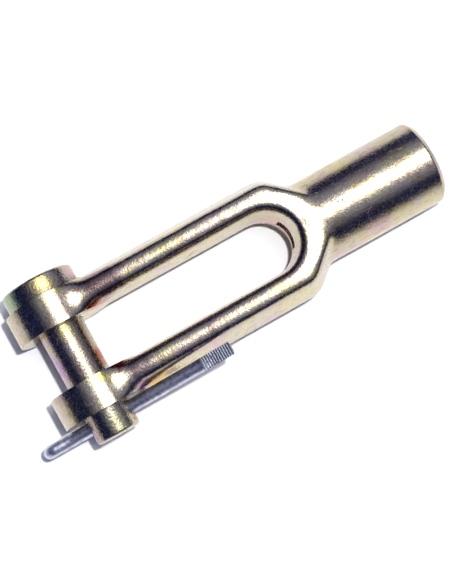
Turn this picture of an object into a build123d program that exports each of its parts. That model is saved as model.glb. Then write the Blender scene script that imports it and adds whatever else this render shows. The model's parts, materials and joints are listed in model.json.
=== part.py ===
"""Clevis rod end: a forged yoke with a threaded socket, its headed clevis pin and a split pin.

All sizes are in millimetres. The origin is the centre of the clevis pin between the two ears.
+X runs along the shank to its open end, +Y along the clevis pin to its head, and +Z is up.
The part lies on the undersides of its shank and its ears.
"""
from build123d import *
import math
import os

# Clevis pin
pin_diameter = 12.7
pin_bore_clearance = 0.08        # on the radius, a running fit
pin_head_diameter = 20.7
pin_head_thickness = 5.4
pin_head_round = 0.8
pin_head_gap = 0.1               # between the head and the ear that it bears on
pin_end_chamfer = 0.8
pin_end_stock = 5.1              # from the split pin's axis to the pin's end

# Yoke: the two ears
gap_width = 16.2                 # between the machined faces of the ears
ear_thickness = 8.9
ear_radius = 11.9
slot_mill_radius = 15.6          # the faces between the ears are milled this far from the pin
spot_face_radius = 12.4          # and the faces outside them this far
bore_chamfer = 0.5

# Yoke: the two legs and the bend that joins them
leg_stock_inner = 0.15           # forging stands in past the milled inner faces at the parting line
leg_stock_outer = 0.9            # and out past the milled outer faces
slot_length = 66.5               # from the pin to the bottom of the bend
ear_stand = 1.9                  # an ear's rim stands this much above the top of its leg
bend_below_shank = 0.35          # the legs climb until the bend is this much lower than the shank
draft_inside = 7.0               # degrees that the flanks round the slot lean from the vertical
draft_outside = 15.0             # and those outside
crown_flat = 2.4                 # left flat between the two round edges along the bend's top
shoulder_slope = 41.0            # degrees that the shoulders fall in to the shank
shoulder_round = 8.0
root_round = 6.0                 # where a shoulder turns into the bend's end face
shoulder_to_slot = 0.1           # the shoulders start this far short of the slot's bottom
bend_extra = 1.0                 # the bend behind the slot is this much thicker than a leg

# Yoke: the shank
shank_diameter = 24.2
overall_reach = 110.1            # from the pin to the shank's open end
shank_end_chamfer = 1.3
shank_nose_start = 2.5           # its nose, a cone, starts this far behind the slot's bottom
shank_nose_drop = 1.3            # and is this much lower there

# Trimmed flash: an upright band along the parting line
land_height = 1.6
land_proud = 0.15                # it stands this far off the tips of the ears

# Threaded socket, bored to the thread's inner diameter
socket_diameter = 14.5
socket_depth = 32.0
socket_chamfer = 0.9
drill_point = 118.0              # degrees

# Split pin: half-round wire bent double
wire_radius = 1.85
split_gap = 0.1                  # between the flats of its two prongs
split_hole_clearance = 0.1       # on the radius
split_to_ear = 0.65              # from the ear's outer face to the wire
split_tilt = 17.0                # degrees that the prongs stand up, clear of the leg's flank
short_prong = 29.6               # from the clevis pin's axis to the prong's end
long_prong = 38.2
eye_centre = 17.8                # from the clevis pin's axis to the eye's centre
eye_inner_radius = 1.95
eye_neck_round = 2.2

# Worked out from the sizes above
pin_radius = pin_diameter / 2
bore_radius = pin_radius + pin_bore_clearance
ear_inner = gap_width / 2
ear_outer = ear_inner + ear_thickness
leg_inner = ear_inner - leg_stock_inner
leg_outer = ear_outer + leg_stock_outer
bend_centre = slot_length - leg_inner
shank_radius = shank_diameter / 2
leg_top = ear_radius - ear_stand
bend_top = shank_radius - bend_below_shank
leg_climb = math.degrees(math.atan((bend_top - leg_top) / slot_length))
bend_rise = bend_top - land_height / 2
lean = math.tan(math.radians(draft_inside)) + math.tan(math.radians(draft_outside))
bend_top_width = leg_outer - leg_inner - bend_rise * lean
setback = math.tan(math.radians(45 - draft_inside / 2)) + math.tan(math.radians(45 - draft_outside / 2))
crown_round = (bend_top_width - crown_flat) / setback
ear_blend = 1.8 * crown_round    # hollow where an ear runs into its leg
shoulder_x = slot_length - shoulder_to_slot
root_x = slot_length + leg_outer - leg_inner + bend_extra
root_y = leg_outer - (root_x - shoulder_x) * math.tan(math.radians(shoulder_slope))
nose_x = slot_length + shank_nose_start
ear_middle = (ear_inner + ear_outer) / 2
split_y = -(ear_outer + split_to_ear + wire_radius)
split_hole_radius = wire_radius + split_gap / 2 + split_hole_clearance
pin_end_y = split_y - pin_end_stock
head_seat_y = ear_outer + pin_head_gap
clear = 20.0                     # how far a cutting tool's solid overshoots

upper_half = Pos(overall_reach / 2, 0, clear) * Box(3 * overall_reach, 6 * leg_outer, 2 * clear)


def bar_along_y(radius, y_from, y_to):
    """A round bar on the clevis pin's axis, or on a line beside it."""
    middle = (y_from + y_to) / 2
    return Pos(0, middle, 0) * Rot(90, 0, 0) * Cylinder(radius, abs(y_to - y_from))


def slot_plan():
    """The gap between the legs at the parting line, open past the ears."""
    straight = Pos((bend_centre - clear) / 2, 0) * Rectangle(bend_centre + clear, 2 * leg_inner)
    return straight + Pos(bend_centre, 0) * Circle(leg_inner)


def fork_plan():
    """Outline of the legs and the bend at the parting line, without the gap."""
    corners = [
        (0, -leg_outer),
        (shoulder_x, -leg_outer),
        (root_x, -root_y),
        (root_x, root_y),
        (shoulder_x, leg_outer),
        (0, leg_outer),
    ]
    outline = make_face(Polyline(*corners, close=True))
    for x, radius in ((shoulder_x, shoulder_round), (root_x, root_round)):
        outline = fillet([v for v in outline.vertices() if abs(v.X - x) < 0.01], radius)
    return outline


def drafted(plan, draft):
    """A plan drawn up from the parting line: an upright band, then flanks that lean in by the draft."""
    band = extrude(plan, amount=land_height / 2)
    return band + extrude(Pos(0, 0, land_height / 2) * plan, amount=shank_diameter, taper=draft)


def fork_block():
    """The legs and the bend drawn up past their tops, with flanks that lean away from both dies."""
    return drafted(fork_plan(), draft_outside) - drafted(slot_plan(), -draft_inside)


def fork_half():
    """The upper half of the legs and the bend: drafted flanks, a climbing top and a round crown."""
    tall = shank_diameter
    above = Pos(0, 0, tall) * Box(4 * overall_reach, 6 * leg_outer, 2 * tall)
    block = fork_block() - Pos(0, 0, leg_top) * Rot(0, -leg_climb, 0) * above
    top = block.faces().sort_by(Axis.Z)[-1]
    return fillet([edge for edge in top.edges() if edge.center().X > 1], crown_round)


def ear_edges(solid, side):
    """The line where one leg's upper half runs out of its ear."""
    found = []
    for edge in solid.edges():
        on_ear = True
        for t in (0.1, 0.5, 0.9):
            point = edge.position_at(t)
            off_ear = abs(math.hypot(point.X, point.Z) - ear_radius) > 0.02
            off_leg = not leg_inner - 1 < side * point.Y < leg_outer + 1
            if off_ear or off_leg or point.Z < 0.01 or point.X < 1:
                on_ear = False
        if on_ear:
            found.append(edge)
    return found


def shank_blank():
    """The round shank, with the cone that grows out of the bend."""
    profile = [
        (nose_x, 0),
        (nose_x, shank_radius - shank_nose_drop),
        (root_x, shank_radius),
        (overall_reach - shank_end_chamfer, shank_radius),
        (overall_reach, shank_radius - shank_end_chamfer),
        (overall_reach, 0),
    ]
    return revolve(make_face(Polyline(*profile, close=True)), axis=Axis.X)


def ear_tip_land():
    """The trimmed flash round the tips of both ears."""
    reach = ear_radius + land_proud
    tip = Pos(-reach / 2, ear_middle, 0) * Box(reach, ear_thickness, land_height)
    return tip + mirror(tip, about=Plane.XZ)


def socket_tool():
    """The tapping-size hole with its drill point and its countersunk mouth."""
    radius = socket_diameter / 2
    point = radius / math.tan(math.radians(drill_point / 2))
    bottom = overall_reach - socket_depth
    profile = [
        (bottom - point, 0),
        (bottom, radius),
        (overall_reach - socket_chamfer, radius),
        (overall_reach + 1, radius + socket_chamfer + 1),
        (overall_reach + 1, 0),
    ]
    return revolve(make_face(Polyline(*profile, close=True)), axis=Axis.X)


def clevis_body():
    """The yoke: forged in two half dies, trimmed, then milled, bored and countersunk."""
    half = fork_half()
    for side in (-1, 1):
        half += bar_along_y(ear_radius, side, side * (leg_outer + 2 * ear_blend)) & upper_half
    for side in (-1, 1):
        half = fillet(ear_edges(half, side), ear_blend)
    envelope = fork_block() + shank_blank()
    for side in (-1, 1):
        envelope += bar_along_y(ear_radius + ear_blend, side * ear_inner, side * ear_outer)
    half = half & envelope
    half += shank_blank() & upper_half
    body = half + mirror(half, about=Plane.XY) + ear_tip_land()

    body -= bar_along_y(slot_mill_radius, -ear_inner, ear_inner)
    for side in (-1, 1):
        body -= bar_along_y(spot_face_radius, side * ear_outer, side * (ear_outer + clear))
    body -= bar_along_y(bore_radius, -leg_outer - clear, leg_outer + clear)
    for side in (-1, 1):
        sink = Cone(bore_radius + bore_chamfer + 1, bore_radius - 1, bore_chamfer + 2)
        body -= Pos(0, side * (ear_outer - bore_chamfer / 2), 0) * Rot(90 * side, 0, 0) * sink
        body -= Pos(0, side * (ear_inner + bore_chamfer / 2), 0) * Rot(-90 * side, 0, 0) * sink
    return body - socket_tool()


def clevis_pin():
    """The headed pin, with a cross hole for the split pin beyond the lower ear."""
    profile = [
        (0, pin_end_y),
        (pin_radius - pin_end_chamfer, pin_end_y),
        (pin_radius, pin_end_y + pin_end_chamfer),
        (pin_radius, head_seat_y),
        (pin_head_diameter / 2, head_seat_y),
        (pin_head_diameter / 2, head_seat_y + pin_head_thickness),
        (0, head_seat_y + pin_head_thickness),
    ]
    face = make_face(Polyline(*profile, close=True))
    rim = [v for v in face.vertices() if v.X > pin_radius + 1]
    pin = revolve(fillet(rim, pin_head_round), axis=Axis.Y)
    hole = Pos(0, split_y, 0) * Rot(0, 90 - split_tilt, 0) * Cylinder(split_hole_radius, 2 * clear)
    return pin - hole


def split_pin():
    """Half-round wire bent double round an eye, with one prong longer than the other."""
    flat = split_gap / 2
    between = eye_neck_round + eye_inner_radius
    run = math.sqrt(between ** 2 - (flat + eye_neck_round) ** 2)
    neck_x = run - eye_centre
    touch_x = -eye_centre + run * eye_inner_radius / between
    touch_z = (flat + eye_neck_round) * eye_inner_radius / between
    turn = math.atan2(flat + eye_neck_round, run)
    mid_x = neck_x - eye_neck_round * math.sin((math.pi / 2 - turn) / 2)
    mid_z = flat + eye_neck_round * (1 - math.cos((math.pi / 2 - turn) / 2))
    path = (
        Line((short_prong, flat), (neck_x, flat))
        + ThreePointArc((neck_x, flat), (mid_x, mid_z), (touch_x, touch_z))
        + ThreePointArc((touch_x, touch_z), (-eye_centre - eye_inner_radius, 0), (touch_x, -touch_z))
        + ThreePointArc((touch_x, -touch_z), (mid_x, -mid_z), (neck_x, -flat))
        + Line((neck_x, -flat), (long_prong, -flat))
    )
    start = Plane(origin=(short_prong, flat, 0), x_dir=(0, 0, 1), z_dir=(-1, 0, 0))
    disc = Circle(wire_radius)
    crown = disc & (Pos(0, wire_radius) * Rectangle(4 * wire_radius, 2 * wire_radius))
    wire = sweep(start * crown, path=path)
    return Pos(0, split_y, 0) * Rot(0, -split_tilt, 0) * Rot(90, 0, 0) * wire


os.makedirs("parts", exist_ok=True)
export_step(clevis_body(), "parts/clevis_body.step")
export_step(clevis_pin(), "parts/clevis_pin.step")
export_step(split_pin(), "parts/split_pin.step")
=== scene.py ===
"""Clevis rod end: the looks of its forged yoke, its headed clevis pin and its split pin.

Metres, in the same frame as the solids: the clevis pin's middle is the origin, +X runs along the
shank to its open end, +Y along the pin to its head, +Z up. Sizes below are in millimetres.
"""
import json
import math

import bpy
from mathutils import Matrix, Vector

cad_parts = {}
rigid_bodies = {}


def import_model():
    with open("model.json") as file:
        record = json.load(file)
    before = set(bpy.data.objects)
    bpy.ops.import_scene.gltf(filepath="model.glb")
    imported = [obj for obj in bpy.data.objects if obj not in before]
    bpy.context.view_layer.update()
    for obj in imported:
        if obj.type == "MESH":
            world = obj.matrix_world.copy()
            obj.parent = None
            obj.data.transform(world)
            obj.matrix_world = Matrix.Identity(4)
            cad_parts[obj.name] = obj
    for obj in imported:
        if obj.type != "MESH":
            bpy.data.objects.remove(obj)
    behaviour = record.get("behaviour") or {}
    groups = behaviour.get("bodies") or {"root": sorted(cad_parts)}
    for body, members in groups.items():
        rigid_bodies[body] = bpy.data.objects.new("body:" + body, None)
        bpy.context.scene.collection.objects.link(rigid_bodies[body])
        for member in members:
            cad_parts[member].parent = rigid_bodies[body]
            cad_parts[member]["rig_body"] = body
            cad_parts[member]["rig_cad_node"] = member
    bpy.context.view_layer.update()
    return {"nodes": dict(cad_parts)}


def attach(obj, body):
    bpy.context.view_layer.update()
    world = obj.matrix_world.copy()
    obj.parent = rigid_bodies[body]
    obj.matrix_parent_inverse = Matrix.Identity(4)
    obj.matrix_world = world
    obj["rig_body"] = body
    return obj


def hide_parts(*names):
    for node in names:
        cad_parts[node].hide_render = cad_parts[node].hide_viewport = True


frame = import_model()
MM = 0.001

# Yoke
ear_inner = 8.1
ear_outer = 17.0
ear_radius = 11.9
bore_radius = 6.43
bore_chamfer = 0.5
slot_mill_radius = 15.6
spot_face_radius = 12.4
shank_radius = 12.1
shank_start = 71.0               # inside the bend
shank_end = 110.1
shank_end_chamfer = 1.6
shank_end_round = 0.9            # between the shank and its end's chamfer
socket_radius = 7.25
socket_depth = 32.0
socket_chamfer = 0.9
drill_point_length = 4.36
thread_pitch = 25.4 / 18
thread_groove = 0.96             # share of the pitch that a groove takes at its mouth
thread_root_flat = 0.18
thread_root_radius = 7.9
thread_length = 25.5
thread_run_out = 1.5             # how far its tool runs on past the shank's end
thread_clear = 0.25              # how far its tool starts inside the wall
forging_grain = 0.42             # facet size of the forged skin
slot_round = 7.95                # radius of the slot's round end at the parting line
slot_round_centre = 58.55

# The sliver torn out of the slot's round end when its flash was trimmed
torn_depth = 1.1
torn_lip = 0.05                  # its depth where it starts, at the parting line
torn_height = 2.5
torn_from, torn_to = -3.8, 4.6   # across the slot
torn_back = 62.0                 # where it starts along the slot
# Past each of these places across the slot, its wall comes back towards the fork by so much
torn_steps = ((3.0, 0.1), (1.6, 0.15), (0.4, 0.05), (-1.2, 0.2), (-2.6, 0.15))

# Rough stock on the forging: on a face between the ears, on their outer faces and on the shank's end
stock_inside = 1.1
stock_outside = 1.2
stock_end = 1.5
shank_stock_inset = 0.02         # how far it stays inside the shank's own round
ear_stock_inset = 0.01           # and inside the ears' round

# Tools
overrun = 4.0                    # how far a facing cutter runs past its face
mouth_overrun = 0.5              # and a countersink
bore_reach = 30.0                # of the bore tool, each way
cross_drill_length = 40.0

# Clevis pin
pin_radius = 6.35
head_radius = 10.35
head_seat = 17.1
head_top = 22.5
head_top_round = 0.8
head_seat_round = 0.25
pin_end = -24.6
pin_end_chamfer = 0.8

# Split pin
split_y = -19.5
split_tilt = 17.0
split_hole_radius = 2.0
wire_radius = 1.85
split_gap = 0.1
short_prong = 29.6
long_prong = 38.2
eye_centre = 17.8
eye_inner_radius = 1.93
eye_neck_round = 14.0
tooth_pitch = 0.7                # of the teeth across the long prong's bare flat
tooth_depth = 0.11
neck_steps = 10                  # facets along each round of the neck
eye_steps = 48                   # and round the eye

# Meshes
near = 0.01                      # places closer than this count as the same
merge_distance = 0.002
smooth_below = 32                # degrees between two faces that are shaded as one surface


# ---------------------------------------------------------------- modelling helpers

def pick_only(*objects):
    """Selects these objects and nothing else; the first becomes active."""
    bpy.ops.object.select_all(action="DESELECT")
    for obj in objects:
        obj.select_set(True)
    bpy.context.view_layer.objects.active = objects[0]


def added(name):
    """Names the primitive just added, with its place and turn moved into its mesh."""
    obj = bpy.context.object
    obj.name = name
    obj.data.name = name
    bpy.ops.object.transform_apply(location=True, rotation=True, scale=True)
    return obj


def rod(name, radius, start, end, axis="Y", sides=96):
    """A round bar on the X or Y axis, from start to end."""
    bpy.ops.object.select_all(action="DESELECT")
    middle = (start + end) / 2 * MM
    place = (middle, 0, 0) if axis == "X" else (0, middle, 0)
    turn = (0, math.radians(90), 0) if axis == "X" else (math.radians(-90), 0, 0)
    bpy.ops.mesh.primitive_cylinder_add(
        vertices=sides, radius=radius * MM, depth=abs(end - start) * MM,
        location=place, rotation=turn
    )
    return added(name)


def choose(obj, kind, test):
    """Opens obj in edit mode with only those vertices, edges or faces selected that pass test.

    The test gets a vertex's place, an edge's two ends, or a face's middle and its normal.
    """
    if obj.mode == "EDIT":
        bpy.ops.object.mode_set(mode="OBJECT")
    pick_only(obj)
    mesh = obj.data
    for group in (mesh.vertices, mesh.edges, mesh.polygons):
        group.foreach_set("select", [False] * len(group))
    if kind == "VERT":
        for v in mesh.vertices:
            v.select = test(v.co / MM)
    elif kind == "EDGE":
        for e in mesh.edges:
            a, b = (mesh.vertices[i].co / MM for i in e.vertices)
            e.select = test(a, b)
    else:
        for p in mesh.polygons:
            p.select = test(p.center / MM, p.normal)
    bpy.ops.object.mode_set(mode="EDIT")
    bpy.ops.mesh.select_mode(type=kind)


def done(obj, angle=None, outward=True):
    """Leaves edit mode with doubles merged and, unless outward is false, the normals turned out.

    Faces that meet at less than angle degrees, if that is given, are shaded as one surface.
    """
    if obj.mode != "EDIT":
        pick_only(obj)
        bpy.ops.object.mode_set(mode="EDIT")
    bpy.ops.mesh.select_all(action="SELECT")
    bpy.ops.mesh.remove_doubles(threshold=merge_distance * MM)
    if outward:
        bpy.ops.mesh.normals_make_consistent(inside=False)
    bpy.ops.object.mode_set(mode="OBJECT")
    if angle is not None:
        bpy.ops.object.shade_smooth_by_angle(angle=math.radians(angle))


def cut(obj, tool):
    """Cuts obj with tool and throws the tool away."""
    pick_only(obj)
    step = obj.modifiers.new("cut", "BOOLEAN")
    step.operation = "DIFFERENCE"
    step.solver = "MANIFOLD"
    step.object = tool
    bpy.ops.object.modifier_apply(modifier=step.name)
    bpy.data.objects.remove(tool)


def finish_with(obj, kind, **settings):
    """Adds one modifier with its settings and applies it."""
    pick_only(obj)
    step = obj.modifiers.new(kind.lower(), kind)
    for key, value in settings.items():
        setattr(step, key, value)
    bpy.ops.object.modifier_apply(modifier=step.name)


def extrude(x=0, y=0, z=0):
    """Draws the selection out by this much, in millimetres."""
    bpy.ops.mesh.extrude_region_move(TRANSFORM_OT_translate={"value": (x * MM, y * MM, z * MM)})


def widen(factor, centre, axes=(True, True, True)):
    """Scales the selection about centre, along the axes given as true."""
    value = tuple(factor if a else 1 for a in axes)
    bpy.ops.transform.resize(value=value, center_override=tuple(c * MM for c in centre))


# ---------------------------------------------------------------- yoke

ANYWHERE = (-2, -1)              # a ramp that every distance is past


def ramp(value, low, high):
    """0 below low, 1 above high, and the share of the way between them."""
    return min(1, max(0, (value - low) / (high - low)))


def soften(blank, name, rounds, coming, going, height=ANYWHERE, outside=ANYWHERE):
    """Smooths the forged skin along a stretch of x, which it comes into and goes out of gently.

    Height and outside are the distances from the parting plane and from the middle of the slot's
    round end over which it comes in. All are in millimetres.
    """
    group = blank.vertex_groups.new(name=name)
    for v in blank.data.vertices:
        x, y, z = v.co / MM
        from_slot_end = math.hypot(x - slot_round_centre, y)
        along = ramp(x, *coming) * (1 - ramp(x, *going))
        share = along * ramp(abs(z), *height) * ramp(from_slot_end, *outside)
        if share > 0:
            group.add([v.index], share, "REPLACE")
    finish_with(blank, "SMOOTH", factor=0.5, iterations=rounds, vertex_group=name)


def forged_blank():
    """The yoke as it leaves the dies: rough stock over each face that is machined later."""
    solid = frame["nodes"]["clevis_body"]
    blank = solid.copy()
    blank.data = solid.data.copy()
    blank.name = "forged_yoke"
    blank.data.name = "forged_yoke"
    blank.parent = None
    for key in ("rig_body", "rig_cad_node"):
        if key in blank:
            del blank[key]
    bpy.context.scene.collection.objects.link(blank)
    past_end = shank_end + stock_end
    shank_stock = shank_radius - shank_stock_inset
    stock = [rod("shank stock", shank_stock, shank_start, past_end, axis="X", sides=192)]
    for side in (-1, 1):
        inner, outer = side * (ear_inner - stock_inside), side * (ear_outer + stock_outside)
        stock.append(rod("ear stock", ear_radius - ear_stock_inset, inner, outer, sides=160))
    pick_only(blank, *stock)
    bpy.ops.object.join()
    done(blank, outward=False)
    finish_with(blank, "REMESH", mode="VOXEL", voxel_size=forging_grain * MM, adaptivity=0.0)
    finish_with(blank, "SMOOTH", factor=0.5, iterations=2)
    soften(blank, "neck", 60, coming=(70, 73), going=(78, 82))
    soften(blank, "crowns", 110, coming=(4, 6.5), going=(40, 62), height=(5, 8))
    soften(blank, "bend", 50, coming=(48, 56), going=(72, 76), height=(4, 7), outside=(12, 13.5))
    soften(blank, "leg roots", 90, coming=(4, 6.5), going=(9, 13), height=(5, 8))
    return blank


# ---------------------------------------------------------------- the yoke's cutters

def facing_tool():
    """Faces the shank's end and chamfers its rim at 45 degrees, with a small round before the chamfer."""
    reach = 16.0
    clear = 0.4
    chamfer_start = shank_end - shank_end_chamfer
    x, radius = chamfer_start - clear, shank_radius + clear
    tool = rod("facing tool", reach, x, shank_end + overrun, axis="X", sides=192)
    choose(tool, "FACE", lambda c, n: n.x < -0.9)
    bpy.ops.mesh.inset(thickness=(reach - radius) * MM, depth=0)
    steps = []
    facets = 4
    for i in range(facets + 1):
        t = math.radians(45 * i / facets)
        drop = shank_end_round * (1 - math.cos(t))
        steps.append((chamfer_start + shank_end_round * math.sin(t), shank_radius - drop))
    last_x, last_radius = steps[-1]
    steps.append((shank_end, last_radius - (shank_end - last_x)))
    for to_x, to_radius in steps:
        extrude(x=to_x - x)
        widen(to_radius / radius, (to_x, 0, 0), (False, True, True))
        x, radius = to_x, to_radius
    done(tool)
    return tool


def socket_tool():
    """Bores the socket to the thread's inner size, with a drill point and a countersunk mouth."""
    bottom = shank_end - socket_depth
    past = 1.0
    tool = rod("socket tool", socket_radius, bottom, shank_end - socket_chamfer, axis="X")
    choose(tool, "FACE", lambda c, n: n.x < -0.9)
    extrude(x=-drill_point_length)
    widen(0.02, (bottom - drill_point_length, 0, 0), (False, True, True))
    choose(tool, "FACE", lambda c, n: n.x > 0.9)
    extrude(x=socket_chamfer + past)
    mouth_radius = socket_radius + socket_chamfer + past
    widen(mouth_radius / socket_radius, (shank_end + past, 0, 0), (False, True, True))
    done(tool)
    return tool


def thread_tool():
    """A V-shaped groove wound along the socket's wall."""
    start = shank_end - thread_length
    half_mouth = thread_pitch * thread_groove / 2
    half_root = thread_root_flat / 2
    inside = socket_radius - thread_clear
    bpy.ops.object.select_all(action="DESELECT")
    bpy.ops.mesh.primitive_plane_add(size=1, location=(0, 0, 0))
    tool = added("thread tool")
    section = ((start - half_mouth, inside), (start + half_mouth, inside),
               (start - half_root, thread_root_radius), (start + half_root, thread_root_radius))
    for v, (x, r) in zip(tool.data.vertices, section):
        v.co = (x * MM, 0, r * MM)
    pick_only(tool)
    step = tool.modifiers.new("screw", "SCREW")
    step.axis = "X"
    step.screw_offset = thread_pitch * MM
    step.iterations = int((thread_length + thread_run_out) / thread_pitch)
    step.steps = 48
    step.render_steps = 48
    step.use_normal_calculate = True
    bpy.ops.object.modifier_apply(modifier=step.name)
    bpy.ops.object.mode_set(mode="EDIT")
    bpy.ops.mesh.select_mode(type="EDGE")
    bpy.ops.mesh.select_all(action="DESELECT")
    bpy.ops.mesh.select_non_manifold(extend=False)
    bpy.ops.mesh.edge_face_add()
    done(tool)
    return tool


def torn_flash_tool():
    """Takes out the sliver that tore from the slot's wall when its flash was trimmed."""
    bpy.ops.object.select_all(action="DESELECT")
    bpy.ops.mesh.primitive_cone_add(
        vertices=120, radius1=(slot_round + torn_lip) * MM, radius2=(slot_round + torn_depth) * MM,
        depth=torn_depth * MM, location=(slot_round_centre * MM, 0, torn_depth / 2 * MM)
    )
    tool = added("torn flash tool")
    choose(tool, "FACE", lambda c, n: n.z > 0.9)
    extrude(z=torn_height)
    bpy.ops.mesh.select_mode(type="VERT")
    sides = ((0, torn_to, (0, -1, 0)), (0, torn_from, (0, 1, 0)), (torn_back, 0, (1, 0, 0)))
    for x, y, way in sides:
        bpy.ops.mesh.select_all(action="SELECT")
        bpy.ops.mesh.bisect(plane_co=(x * MM, y * MM, 0), plane_no=way, use_fill=True, clear_inner=True)
    for below, step in torn_steps:
        choose(tool, "VERT", lambda c: c.y < below)
        bpy.ops.transform.translate(value=(-step * MM, 0, 0))
    done(tool)
    return tool


def countersink(side, face, way):
    """Opens the bore's mouth at an ear's face, on the side of the yoke given by side, facing way."""
    wide = bore_radius + bore_chamfer
    bottom = side * face - side * way * bore_chamfer
    tool = rod("countersink", wide, bottom, side * face + side * way * mouth_overrun)
    choose(tool, "FACE", lambda c, n: n.y * side * way < -0.9)
    widen(bore_radius / wide, (0, bottom, 0), (True, False, True))
    done(tool)
    return tool


def yoke():
    """The forging with its ears milled, spot-faced and bored, and its shank faced and threaded."""
    body = forged_blank()
    cut(body, torn_flash_tool())
    cut(body, rod("slot mill", slot_mill_radius, -ear_inner, ear_inner, sides=192))
    for side in (-1, 1):
        face = side * ear_outer
        cut(body, rod("spot facer", spot_face_radius, face, face + side * overrun, sides=192))
    cut(body, rod("bore tool", bore_radius, -bore_reach, bore_reach, sides=128))
    for side in (-1, 1):
        cut(body, countersink(side, ear_outer, 1))
        cut(body, countersink(side, ear_inner, -1))
    cut(body, facing_tool())
    cut(body, socket_tool())
    cut(body, thread_tool())
    done(body, angle=smooth_below, outward=False)
    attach(body, "clevis_body")
    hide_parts("clevis_body")
    return body


# ---------------------------------------------------------------- clevis pin

def clevis_pin():
    """Round bar upset to a flat head, with a chamfered end and a cross hole for the split pin."""
    inside_rim = (pin_radius + head_radius) / 2
    pin = rod("headed_pin", pin_radius, pin_end, head_seat, sides=128)
    choose(pin, "FACE", lambda c, n: n.y > 0.9)
    extrude()
    widen(head_radius / pin_radius, (0, head_seat, 0), (True, False, True))
    extrude(y=head_top - head_seat)
    choose(pin, "EDGE", lambda a, b: min(a.y, b.y) > head_top - near)
    bpy.ops.mesh.bevel(offset=head_top_round * MM, segments=5, profile=0.5)
    choose(pin, "EDGE", lambda a, b: abs(a.y - head_seat) < near and abs(b.y - head_seat) < near
           and math.hypot(a.x, a.z) > inside_rim and math.hypot(b.x, b.z) > inside_rim)
    bpy.ops.mesh.bevel(offset=head_seat_round * MM, segments=2, profile=0.5)
    choose(pin, "EDGE", lambda a, b: max(a.y, b.y) < pin_end + near)
    bpy.ops.mesh.bevel(offset=pin_end_chamfer * MM, segments=3, profile=0.5)
    done(pin)
    bpy.ops.object.select_all(action="DESELECT")
    bpy.ops.mesh.primitive_cylinder_add(
        vertices=64, radius=split_hole_radius * MM, depth=cross_drill_length * MM,
        location=(0, split_y * MM, 0), rotation=(0, math.radians(90 - split_tilt), 0)
    )
    cut(pin, added("cross drill"))
    done(pin, angle=smooth_below)
    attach(pin, "clevis_pin")
    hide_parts("clevis_pin")
    return pin


# ---------------------------------------------------------------- split pin

def wind(angle, x, z, steps):
    """Carries the selected section round a point of the pin's middle plane, by angle in radians."""
    bpy.ops.mesh.spin(steps=steps, angle=angle, center=(x * MM, 0, z * MM), axis=(0, 1, 0))


def split_pin():
    """Half-round wire bent double: two straight prongs, flat side to flat side, and a round eye."""
    flat = split_gap / 2
    apart = eye_neck_round + eye_inner_radius
    run = math.sqrt(apart ** 2 - (flat + eye_neck_round) ** 2)
    neck_x = run - eye_centre
    rise = math.atan2(flat + eye_neck_round, run)
    bpy.ops.object.select_all(action="DESELECT")
    bpy.ops.mesh.primitive_circle_add(
        vertices=32, radius=wire_radius * MM, fill_type="NGON",
        location=(short_prong * MM, 0, flat * MM), rotation=(0, math.radians(-90), 0)
    )
    wire = added("cotter_wire")
    bpy.ops.object.mode_set(mode="EDIT")
    bpy.ops.mesh.select_all(action="SELECT")
    bpy.ops.mesh.bisect(plane_co=(0, 0, flat * MM), plane_no=(0, 0, 1), use_fill=True, clear_inner=True)
    bpy.ops.mesh.select_mode(type="FACE")
    bpy.ops.mesh.select_all(action="SELECT")
    extrude(x=neck_x - short_prong)
    wind(rise - math.pi / 2, neck_x, flat + eye_neck_round, neck_steps)
    wind(2 * (math.pi - rise), -eye_centre, 0, eye_steps)
    wind(rise - math.pi / 2, neck_x, -flat - eye_neck_round, neck_steps)
    extrude(x=short_prong - neck_x)
    half_teeth = 2 * round((long_prong - short_prong) / tooth_pitch)
    step = (long_prong - short_prong) / half_teeth
    for _ in range(half_teeth):
        extrude(x=step)
    choose(wire, "VERT", lambda c: c.x > short_prong and abs(c.z + flat) < near
           and round((c.x - short_prong) / step) % 2 == 1)
    bpy.ops.transform.translate(value=(0, 0, -tooth_depth * MM))
    done(wire)
    wire.rotation_euler = (0, math.radians(-split_tilt), 0)
    wire.location = (0, split_y * MM, 0)
    pick_only(wire)
    bpy.ops.object.transform_apply(location=True, rotation=True, scale=True)
    bpy.ops.object.shade_smooth_by_angle(angle=math.radians(smooth_below))
    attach(wire, "split_pin")
    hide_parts("split_pin")
    return wire


# ---------------------------------------------------------------- finishes

COLOUR_A, COLOUR_B, MIXED = 6, 7, 2          # a Mix node's two colour inputs, and its colour output


def linear(hex_colour):
    """An sRGB hex colour as linear red, green, blue and alpha."""
    values = []
    for i in (1, 3, 5):
        c = int(hex_colour[i:i + 2], 16) / 255
        values.append(c / 12.92 if c <= 0.04045 else ((c + 0.055) / 1.055) ** 2.4)
    return (*values, 1.0)


def node(tree, kind, inputs=None, out=0, **settings):
    """Adds a shader node and gives its output. An input is a fixed value or another node's output."""
    made = tree.nodes.new("ShaderNode" + kind)
    for key, value in settings.items():
        setattr(made, key, value)
    for key, value in (inputs or {}).items():
        if isinstance(value, bpy.types.NodeSocket):
            tree.links.new(value, made.inputs[key])
        else:
            made.inputs[key].default_value = value
    return made.outputs[out]


def per_metre(size_mm):
    """Noise scale that gives features of this size, since Object coordinates are metres."""
    return 1 / (size_mm * MM)


# The noise values of the finest relief in its hollows and on its tops
HOLLOW, TOP = 0.35, 0.65

# Scuffs are curly lines where one noise passes its middle value, in the places where another is high
SCUFF_CURL = 4                   # millimetres from one curl to the next
SCUFF_PLACE = 6                  # millimetres across a scuffed place
SCUFF_HERE = (0.58, 0.62)        # values of the other noise between which its scuffs come in
SCUFF_WIDTH = 0.006              # half the band of noise values that makes a line
SCUFF_DULLING = 0.4              # added to the roughness along it

# Steps along the noise's fourth dimension, which make these patterns differ
DRIFT_STEP, CURL_STEP, PLACE_STEP = 3.7, 9, 20


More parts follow.
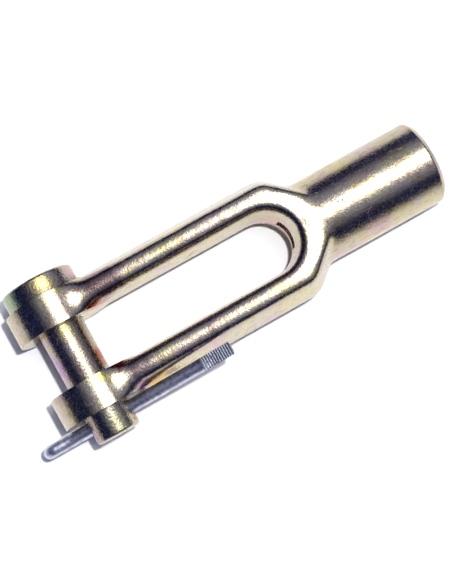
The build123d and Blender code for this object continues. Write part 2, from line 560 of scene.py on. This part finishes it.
def plated_steel(name, tint, drifts, stains_and_shade, rough, reliefs):
    """Zinc plate over steel, in a tint, with a few thin curly scuffs.

    Each drift is a colour that the passivation turns to in patches, their size, how many times longer
    they are along the surface's level lines than up it, and the noise values between which they come in.
    Each stain, and each patch of painted shade, is a colour, its centre and its reach. Rough is the
    roughness in the finest relief's hollows and on its tops. Each relief is a noise's size, its detail
    and its depth, from the slowest to the finest. Lengths are in millimetres.
    """
    mat = bpy.data.materials.new(name)
    mat.use_nodes = True
    tree = mat.node_tree
    shader = tree.nodes["Principled BSDF"]
    shader.inputs["Metallic"].default_value = 1.0
    place = node(tree, "TexCoord", out="Object")

    colour = linear(tint)
    for number, (patch, size_mm, stretch, low, high) in enumerate(drifts):
        level = node(tree, "Mapping", {"Vector": place, "Scale": (1 / stretch, 1 / stretch, 1)})
        cloud = node(tree, "TexNoise", {
            "Vector": level, "Scale": per_metre(size_mm), "Detail": 3, "W": DRIFT_STEP * number
        }, noise_dimensions="4D")
        share = node(tree, "MapRange", {"Value": cloud, "From Min": low, "From Max": high})
        colour = node(tree, "Mix", {"Factor": share, COLOUR_A: colour, COLOUR_B: linear(patch)}, MIXED,
                      data_type="RGBA")
    for stain_and_shade_colour, centre, reach in stains_and_shade:
        cloud = node(tree, "TexNoise", {"Vector": place, "Scale": per_metre(reach / 2), "Detail": 4},
                     noise_dimensions="4D")
        ragged = node(tree, "MapRange", {"Value": cloud, "To Min": -reach * MM, "To Max": reach * MM})
        away = node(tree, "VectorMath", {0: place, 1: tuple(c * MM for c in centre)}, "Value",
                    operation="DISTANCE")
        edge = node(tree, "Math", {0: away, 1: ragged}, operation="ADD")
        share = node(tree, "MapRange", {"Value": edge, "From Min": reach * MM, "From Max": reach / 2 * MM})
        colour = node(tree, "Mix", {"Factor": share, COLOUR_A: colour, COLOUR_B: linear(stain_and_shade_colour)}, MIXED,
                      data_type="RGBA")
    tree.links.new(colour, shader.inputs["Base Color"])

    bumps = {}
    for size_mm, detail, depth in reliefs:
        height = node(tree, "TexNoise", {"Vector": place, "Scale": per_metre(size_mm), "Detail": detail},
                      noise_dimensions="4D")
        bumps["Normal"] = node(tree, "Bump", {
            "Height": height, "Strength": 1.0, "Distance": depth * MM, **bumps
        })
    tree.links.new(bumps["Normal"], shader.inputs["Normal"])
    sheen = node(tree, "MapRange", {
        "Value": height, "From Min": HOLLOW, "From Max": TOP, "To Min": rough[0], "To Max": rough[1]
    })
    winding = node(tree, "TexNoise", {
        "Vector": place, "Scale": per_metre(SCUFF_CURL), "Detail": 1, "W": CURL_STEP
    }, noise_dimensions="4D")
    line = node(tree, "Math", {0: winding, 1: 0.5, 2: SCUFF_WIDTH}, operation="COMPARE")
    cloud = node(tree, "TexNoise", {
        "Vector": place, "Scale": per_metre(SCUFF_PLACE), "Detail": 1, "W": PLACE_STEP
    }, noise_dimensions="4D")
    few, many = SCUFF_HERE
    here = node(tree, "MapRange", {"Value": cloud, "From Min": few, "From Max": many})
    scuff = node(tree, "Math", {0: line, 1: here}, operation="MULTIPLY")
    dulled = node(tree, "Math", {0: scuff, 1: SCUFF_DULLING, 2: sheen}, operation="MULTIPLY_ADD")
    tree.links.new(dulled, shader.inputs["Roughness"])
    return mat


# Yellow passivated zinc on a forging that was shot-blasted: a straw to rose mirror whose reflections
# break into specks at their edges, with red, mauve and gold where the bath pooled beside the ears. The
# shot's pits are about 0.2 mm across, too fine to show, so the grain is drawn at 0.55 mm.
forged_zinc = plated_steel(
    "yellow zinc on shot-blasted forged steel", "#C0B6A0",
    drifts=(("#C6BC8C", 9, 1, 0.44, 0.64), ("#C2A8A2", 7, 1, 0.52, 0.7), ("#AE9A82", 0.7, 2.5, 0.5, 0.66)),
    stains_and_shade=(
        ("#B4623A", (10.5, 9.2, 6.3), 4.5), ("#A4523E", (8.5, -8.6, 8.5), 2.5),
        ("#A07094", (11.5, -16.2, 6), 4), ("#C89C40", (16, -16.6, 5.5), 4.2),
        ("#8E6A4C", (20.5, -17, 5), 2.5), ("#C8A094", (64, 3, -3), 9),
        # 86706C and #96847C: darker brown patches on the legs' crowns beside the ears, painted shade that
        # dims their highlights there
        ("#86706C", (15.5, 12, 10.5), 7), ("#96847C", (14, -12, 10.5), 4),
        ("#C4BA74", (3, -9.5, 11.5), 3),
    ),
    rough=(0.18, 0.3), reliefs=((4.0, 1, 0.05), (0.55, 2, 0.045))
)
# The same plate on a pin headed from bar, tumbled rather than blasted: duller, more broken up, green to
# straw at the head and mauve low down. The green on the head's -X flank is the plate's own tint, darkened
# there as painted reflection of the shadow on the table beside it, and the violet on the -X side of the
# pin's end is painted reflection of that shadow. The pin's nicks are finer than 0.2 mm too, and are drawn
# at 0.55 mm.
turned_zinc = plated_steel(
    "yellow zinc on a headed steel pin", "#BEB6A4",
    drifts=(("#B8A892", 9, 1, 0.45, 0.55), ("#8A6E50", 0.9, 1, 0.58, 0.72)),
    stains_and_shade=(
        # A3AE90: the greenish patch on the head's -X flank, its green the plate's own and its darkening
        # painted reflection of the shadow on the table beside it
        ("#B294AA", (-7, 0, -3), 10), ("#A3AE90", (-8, 20, 5), 8), ("#C2B078", (1, 20, 10), 4),
        # 92789A: the violet patch on the -X side of the pin's end, a painted reflection of the shadow on
        #         the table beside it
        ("#BFA4A0", (10, 20, 3), 6), ("#92789A", (-6, -22, 0), 5), ("#A0644C", (5.6, -3.5, 2.4), 3.5),
        ("#BAB078", (1.5, 6, 6), 3), ("#C6C096", (1.5, -22, 6), 4.5),
    ),
    rough=(0.2, 0.32), reliefs=((5.0, 1, 0.04), (0.55, 2, 0.085))
)
# Clear zinc on wire drawn to a half round: a bluish satin grey, darker at its toothed end. The die's
# marks are finer than 0.1 mm, too fine to show, so the satin is drawn at 0.6 mm.
bright_zinc = plated_steel(
    "bright zinc on drawn steel wire", "#D4D6E0",
    drifts=(("#DEE0E8", 5, 1, 0.45, 0.6), ("#9A9BAA", 1.2, 1, 0.5, 0.7)),
    stains_and_shade=(("#8E929C", (32.4, -19.5, 9.9), 6.5),),
    rough=(0.4, 0.54), reliefs=((3.0, 1, 0.04), (0.6, 2, 0.06))
)


# ---------------------------------------------------------------- the part

def coat(obj, mat):
    """Gives obj this one material."""
    obj.data.materials.clear()
    obj.data.materials.append(mat)


for piece, mat in ((yoke(), forged_zinc), (clevis_pin(), turned_zinc), (split_pin(), bright_zinc)):
    coat(piece, mat)


# ---------------------------------------------------------------- table, light and camera

stage_x = 0.05                   # metres, as the next two are; under the part's middle
stage_size = 3.0
screen_radius = 1.45
bpy.ops.object.select_all(action="DESELECT")
bpy.ops.mesh.primitive_plane_add(size=stage_size, location=(stage_x, 0, -shank_radius * MM))
table = added("table")
# White board painted matt: even and pale, with no gloss
table_paint = bpy.data.materials.new("white board painted matt")
table_paint.use_nodes = True
table_shader = table_paint.node_tree.nodes["Principled BSDF"]
table_shader.inputs["Base Color"].default_value = linear("#F3F3F3")
table_shader.inputs["Roughness"].default_value = 0.9
coat(table, table_paint)

# A screen of pale woven cloth round the table: an even backdrop that neither lights the part nor is
# mirrored in it
bpy.ops.object.select_all(action="DESELECT")
bpy.ops.mesh.primitive_cylinder_add(
    vertices=96, radius=screen_radius, depth=stage_size, end_fill_type="NOTHING",
    location=(stage_x, 0, 0)
)
screen = added("screen")
screen_paint = bpy.data.materials.new("pale woven cloth")
screen_paint.use_nodes = True
screen_shader = screen_paint.node_tree.nodes["Principled BSDF"]
screen_shader.inputs["Base Color"].default_value = linear("#000000")
screen_shader.inputs["Specular IOR Level"].default_value = 0.0
screen_shader.inputs["Emission Color"].default_value = linear("#BEC0CE")
screen_shader.inputs["Emission Strength"].default_value = 1.0
coat(screen, screen_paint)
screen.visible_diffuse = False
screen.visible_glossy = False
screen.visible_shadow = False

# A dark room, pale up to about the table's level and a little higher towards -Y. A round softbox stands
# nearly overhead and fades at its rim, and a wide faint glow on the ceiling lies round it. Each of the
# two is its direction, the angles from it at which it begins and is full, its strength and its colour.
softbox = ((0.28, 0.08, 0.95), 20, 8, 7.0, "#FFFFFF")
ceiling = ((0.36, 0.1, 0.93), 58, 26, 0.45, "#E4E8FF")
room = bpy.data.worlds.new("room")
bpy.context.scene.world = room
room.use_nodes = True
sky = room.node_tree
way = node(sky, "TexCoord", out="Generated")
level = node(sky, "VectorMath", {0: way, 1: (0, 0.1, 1)}, "Value", operation="DOT_PRODUCT")
above = node(sky, "MapRange", {"Value": level, "From Min": -0.08, "From Max": 0.09})
pale, dark = linear("#C9C3C4"), linear("#161E54")
walls = node(sky, "Mix", {"Factor": above, COLOUR_A: pale, COLOUR_B: dark}, MIXED, data_type="RGBA")
base = sky.nodes["Background"]
sky.links.new(walls, base.inputs["Color"])
base.inputs["Strength"].default_value = 1.0
glow = base.outputs["Background"]
for toward, rim, full, strength, colour in (softbox, ceiling):
    facing = node(sky, "VectorMath", {0: way, 1: toward}, "Value", operation="DOT_PRODUCT")
    fade = node(sky, "MapRange", {
        "Value": facing, "From Min": math.cos(math.radians(rim)), "From Max": math.cos(math.radians(full)),
        "To Max": strength
    }, interpolation_type="SMOOTHSTEP")
    light = node(sky, "Background", {"Color": linear(colour), "Strength": fade})
    glow = node(sky, "AddShader", {0: glow, 1: light})
sky.links.new(glow, sky.nodes["World Output"].inputs["Surface"])

# Beside the lens, for crisp short shadows; it makes no highlight of its own
lamp_place = Vector((62, -16, 330))
lamp_aim = Vector((45, 0, 0))
lamp_disk = bpy.data.lights.new("small lamp", "AREA")
lamp_disk.shape = "DISK"
lamp_disk.size = 14 * MM
lamp_disk.energy = 1.05
lamp = bpy.data.objects.new("small lamp", lamp_disk)
bpy.context.scene.collection.objects.link(lamp)
lamp.location = lamp_place * MM
lamp.rotation_euler = (lamp_aim - lamp_place).to_track_quat("-Z", "Y").to_euler()
lamp.visible_glossy = False

lens = bpy.data.cameras.new("camera")
camera = bpy.data.objects.new("camera", lens)
bpy.context.scene.collection.objects.link(camera)
camera_right = Vector((0.86941021, -0.49247044, 0.03998451))
camera_up = Vector((0.48515517, 0.86620779, 0.11961823))
camera_back = Vector((-0.09354334, -0.08459862, 0.99201447))
camera_place = Vector((12.892, -33.021, 328.111))
turn = Matrix((camera_right, camera_up, camera_back)).transposed().to_4x4()
camera.matrix_world = Matrix.Translation(camera_place * MM) @ turn
lens.sensor_width = 36
lens.lens = 74.63
lens.clip_start = 0.01
bpy.context.scene.camera = camera
bpy.context.scene.view_settings.view_transform = "Standard"
